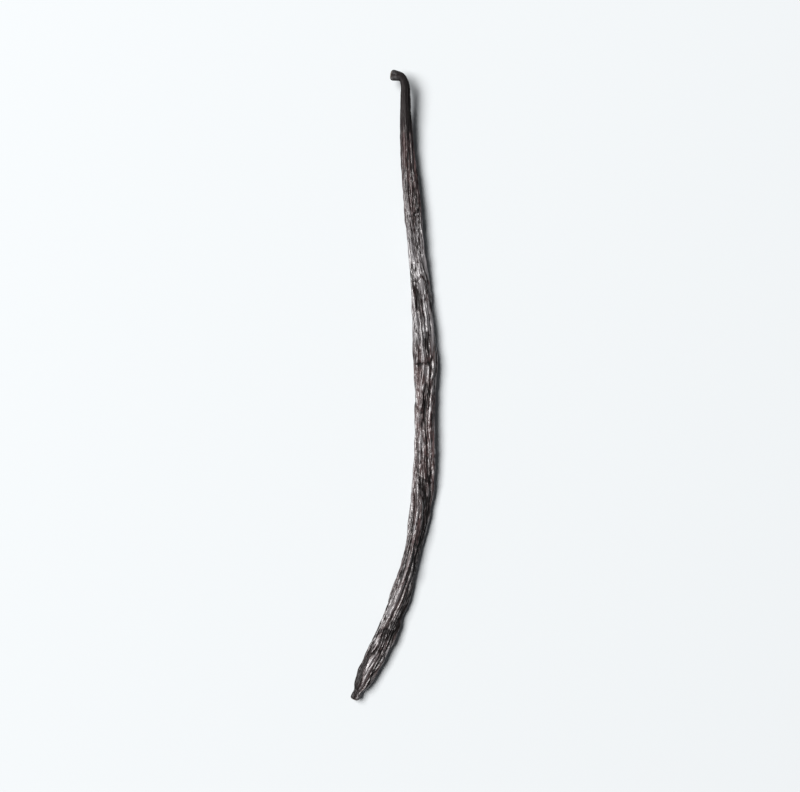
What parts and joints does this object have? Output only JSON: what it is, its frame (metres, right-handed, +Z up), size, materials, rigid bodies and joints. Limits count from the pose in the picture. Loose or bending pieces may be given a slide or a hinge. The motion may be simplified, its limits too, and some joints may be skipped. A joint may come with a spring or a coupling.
{
  "type": "vanilla pod",
  "caption": "Long, thin, cured vanilla pod with a wrinkled dark skin, a slow bend, a tapered flower end and a hooked stem. It lies flat on a table.",
  "frame": {"origin": "on the table under the middle of the pod's bounding box", "axes": "+Y towards the stem, along the pod's length; +Z up from the table; +X to the side that the pod bows towards"},
  "size_m": [0.0244, 0.1766, 0.006],
  "materials": {
    "pod_skin": "oily dark brown, ridged lengthwise, half glossy"
  },
  "bodies": {
    "root": {"vanilla_pod": "pod_skin"}
  },
  "joints": []
}
